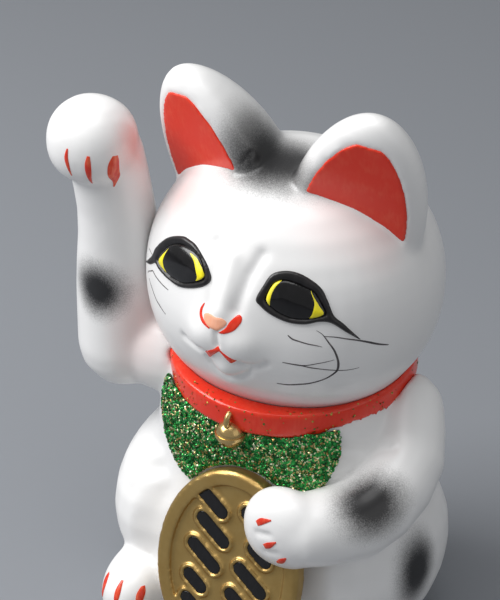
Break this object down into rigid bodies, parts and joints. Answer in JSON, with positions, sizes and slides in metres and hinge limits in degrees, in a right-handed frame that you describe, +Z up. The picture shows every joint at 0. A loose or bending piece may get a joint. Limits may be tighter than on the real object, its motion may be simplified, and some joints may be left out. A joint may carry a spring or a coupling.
{
  "type": "beckoning cat figurine",
  "caption": "Seated beckoning cat figurine with a raised paw, oval gold coin, collar with bell and bib; hollow ceramic with a coin slot and a rubber base stopper.",
  "frame": {"origin": "middle of the footprint's bounding box, on the surface that the figurine stands on", "axes": "+Z up, the cat faces -Y, its raised right paw is at -X and its left side at +X"},
  "size_m": [0.1306, 0.1036, 0.1877],
  "materials": {
    "white_glaze": "glossy white glaze over pale slip-cast clay",
    "bare_clay": "unglazed pale clay",
    "stopper_rubber": "soft dark rubber",
    "red_enamel": "glossy vermilion enamel",
    "green_glitter": "green enamel with gold and green glitter",
    "gold_paint": "satin gold paint on clay",
    "black_enamel": "glossy black enamel",
    "peach_enamel": "peach enamel"
  },
  "bodies": {
    "figurine": {"torso_casting": "white_glaze", "base_slab": "bare_clay", "head_casting": "white_glaze", "right_ear": "white_glaze", "left_ear": "white_glaze", "right_ear_lining": "red_enamel", "left_ear_lining": "red_enamel", "raised_arm": "white_glaze", "lowered_arm": "white_glaze", "right_foot": "white_glaze", "left_foot": "white_glaze", "tail": "white_glaze", "collar": "red_enamel", "bib": "green_glitter", "bell_loop": "gold_paint", "bell": "gold_paint", "koban": "gold_paint", "koban_enamel": "black_enamel", "right_eye": "black_enamel", "left_eye": "black_enamel", "nose": "peach_enamel", "mouth": "red_enamel", "raised_paw_claws": "red_enamel", "lowered_paw_claws": "red_enamel", "right_foot_claws": "red_enamel", "left_foot_claws": "red_enamel"},
    "stopper": {"rubber_stopper": "stopper_rubber"}
  },
  "joints": [
    {"name": "stopper_pull", "type": "slide", "parent": "figurine", "child": "stopper", "axis": [0, 0, -1], "range_m": [0, 0.014]}
  ]
}
